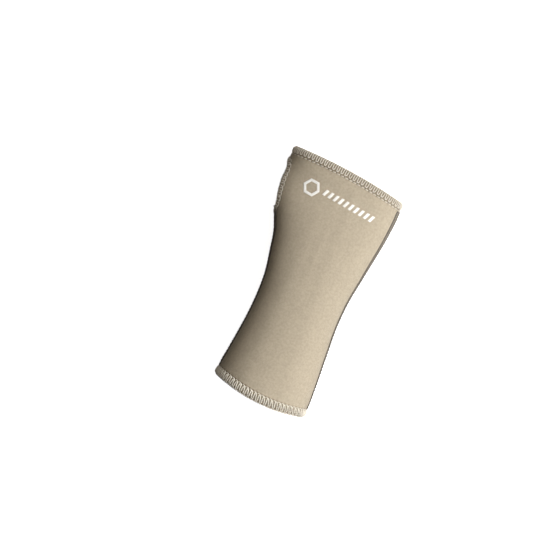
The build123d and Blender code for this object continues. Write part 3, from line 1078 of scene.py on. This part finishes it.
WHITE = (1, 1, 1)
FACE = (0.438, 0.384, 0.298)
INK = (0.86, 0.86, 0.84)
VINYL = (0.035, 0.035, 0.038)
PAINTS = {slot: maker(slot, *values) for slot, maker, *values in (
    ("face_knit", knit_material, FACE, 0.62 * MM, 0.46 * MM),
    ("lining_knit", knit_material, shade(FACE, 0.70), 0.8 * MM, 0.6 * MM),
    ("pocket_cloth", knit_material, shade(FACE, 0.86), 0.7 * MM, 0.5 * MM),
    ("binding_tape", knit_material, shade(FACE, 0.62), 0.9 * MM, 0.4 * MM),
    ("foam_core", foam_material, (0.50, 0.45, 0.37)),
    ("overlock_thread", thread_material, (0.76, 0.72, 0.64), 0.7),
    ("seam_thread", thread_material, (0.085, 0.075, 0.066), 0.7),
    ("label_satin", thread_material, (0.80, 0.79, 0.76), 0.45),
    ("white_ink", coat_material, INK, 1900, 4, (0.30, 0.90), (0.6, 1), 0.5, 0.5),
    ("vinyl", coat_material, VINYL, 260, 2, (0.3, 0.85), (0.7, 1.15), 0.55, 0.3),
    ("aluminium", aluminium_material, (0.23, 0.235, 0.245)),
)}


def dress(obj, slot, *nodes, body="sleeve"):
    """Give a piece the material named after its slot and its body, and hide the CAD nodes that it
    stands for.
    """
    obj.data.materials.clear()
    obj.data.materials.append(PAINTS[slot])
    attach(obj, body)
    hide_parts(*nodes)
    return obj


# ---- assembly ----


def build_panels():
    """Both panels, ply by ply."""
    for name, side in (("dorsal", 1), ("palmar", -1)):
        for piece, slot in zip(build_panel(name, side), ("face_knit", "foam_core", "lining_knit")):
            dress(piece, slot, f"{name}_{slot}")


def build_edges():
    """The three overlocked hems and the two side seams."""
    for name, rim, thread in (
        ("hand_hem", HAND_RIM, HAND_THREAD),
        ("cuff_hem", CUFF_RIM, CUFF_THREAD),
        ("thumb_hem", THUMB_RIM, THUMB_THREAD),
    ):
        loopers, needle = build_hem(name, rim, thread)
        dress(loopers, "overlock_thread", f"{name}_loopers")
        dress(needle, "overlock_thread", f"{name}_needle_thread")
    for name, angle in (("ulnar", 0.0), ("radial", math.pi)):
        low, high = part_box(f"{name}_seam_flatlock")
        strip = seam_strip(f"{name}_seam_threads", angle, low.y, high.y)
        dress(strip, "seam_thread", f"{name}_seam_flatlock")


def build_fittings():
    """The stay's pocket, the prints, the label and the stay."""
    pocket = dress(build_pocket(), "pocket_cloth", "stay_pocket_patch")
    binding = dress(build_binding(), "binding_tape", "pocket_mouth_binding")
    stitching = dress(build_lockstitch(), "seam_thread", "pocket_edge_stitching")
    tacks = dress(build_bar_tacks(), "seam_thread", "pocket_bartacks")
    dress(build_emblem(), "white_ink", "print_emblem")
    dress(build_dashes(), "white_ink", "print_dashes")
    label = dress(build_label(), "label_satin", "care_label")
    dress(build_blade(), "aluminium", "stay_blade", body="stay")
    for end, direction in (("proximal", -1), ("distal", 1)):
        dress(build_cap(end, direction), "vinyl", f"stay_cap_{end}", body="stay")


# ---- studio ----

MIDDLE = Vector((0, 0, 0.03))
STUDIO_SIZE = 8.0
CAMERA_LENS = 400.0            # long, as the photograph has hardly any perspective
CAMERA_TURN = math.radians(21.6)
CAMERA_PLACE = (-22.26 * MM, -1.03 * MM, 4.425)


def area_light(name, place, size, power, colour):
    """Soft square light aimed at the middle of the splint."""
    data = bpy.data.lights.new(name, "AREA")
    data.size = size
    data.energy = power
    data.color = colour
    obj = add_object(name, data)
    obj.location = place
    obj.rotation_euler = (MIDDLE - Vector(place)).to_track_quat("-Z", "Y").to_euler()


def glowing(name, points, faces, colour, glow):
    """Self-lit surface of the studio, unseen by soft and glossy rays."""
    obj = make_object(name, points, faces)
    obj.data.materials.append(Nodes(f"{name}_paint").finish(
        Base_Color=colour, Roughness=0.9, Emission_Color=WHITE, Emission_Strength=glow,
    ))
    obj.visible_diffuse = False
    obj.visible_glossy = False
    return obj


def build_studio():
    """Pale floor and backdrop, soft light from the little-finger side, and the camera above."""
    square = np.array([(-1, -1, 0), (1, -1, 0), (1, 1, 0), (-1, 1, 0)]) * STUDIO_SIZE
    glowing("floor", square, [(0, 1, 2, 3)], (0.93, 0.93, 0.93), 0.90)
    turn, rise = np.meshgrid(np.linspace(0, TAU, 97), np.linspace(-0.02, math.pi / 2, 25))
    level = np.cos(rise)
    dome = STUDIO_SIZE * np.stack([level * np.cos(turn), level * np.sin(turn), np.sin(rise)], -1)
    dome_faces = grid_faces(*dome.shape[:2]).tolist()
    glowing("backdrop", dome, dome_faces, (0, 0, 0), 1.0).visible_shadow = False

    scene = bpy.context.scene
    scene.world = bpy.data.worlds.new("studio")
    scene.world.use_nodes = True
    sky = scene.world.node_tree.nodes["Background"].inputs
    sky["Color"].default_value = (1, 0.88, 0.73, 1)
    sky["Strength"].default_value = 0.085
    area_light("key", (0.85, 0.10, 0.68), 0.9, 18.4, (1.0, 0.99, 0.97))
    area_light("cuff_fill", (0.50, -1.1, 0.30), 0.8, 2.2, (1.0, 0.97, 0.93))
    area_light("hand_fill", (0.05, 1.15, 0.28), 0.8, 2.2, (1.0, 0.97, 0.93))
    area_light("top", (0.26, 0.30, 1.15), 0.9, 4.3, (1.0, 0.92, 0.83))

    scene.view_settings.view_transform = "Standard"
    data = bpy.data.cameras.new("camera")
    data.lens = CAMERA_LENS
    data.sensor_width = 36
    camera = add_object("camera", data)
    camera.rotation_mode = "QUATERNION"
    camera.rotation_quaternion = Matrix.Rotation(CAMERA_TURN, 3, "Z").to_quaternion()
    camera.location = CAMERA_PLACE
    scene.camera = camera


build_studio()
build_panels()
build_edges()
build_fittings()
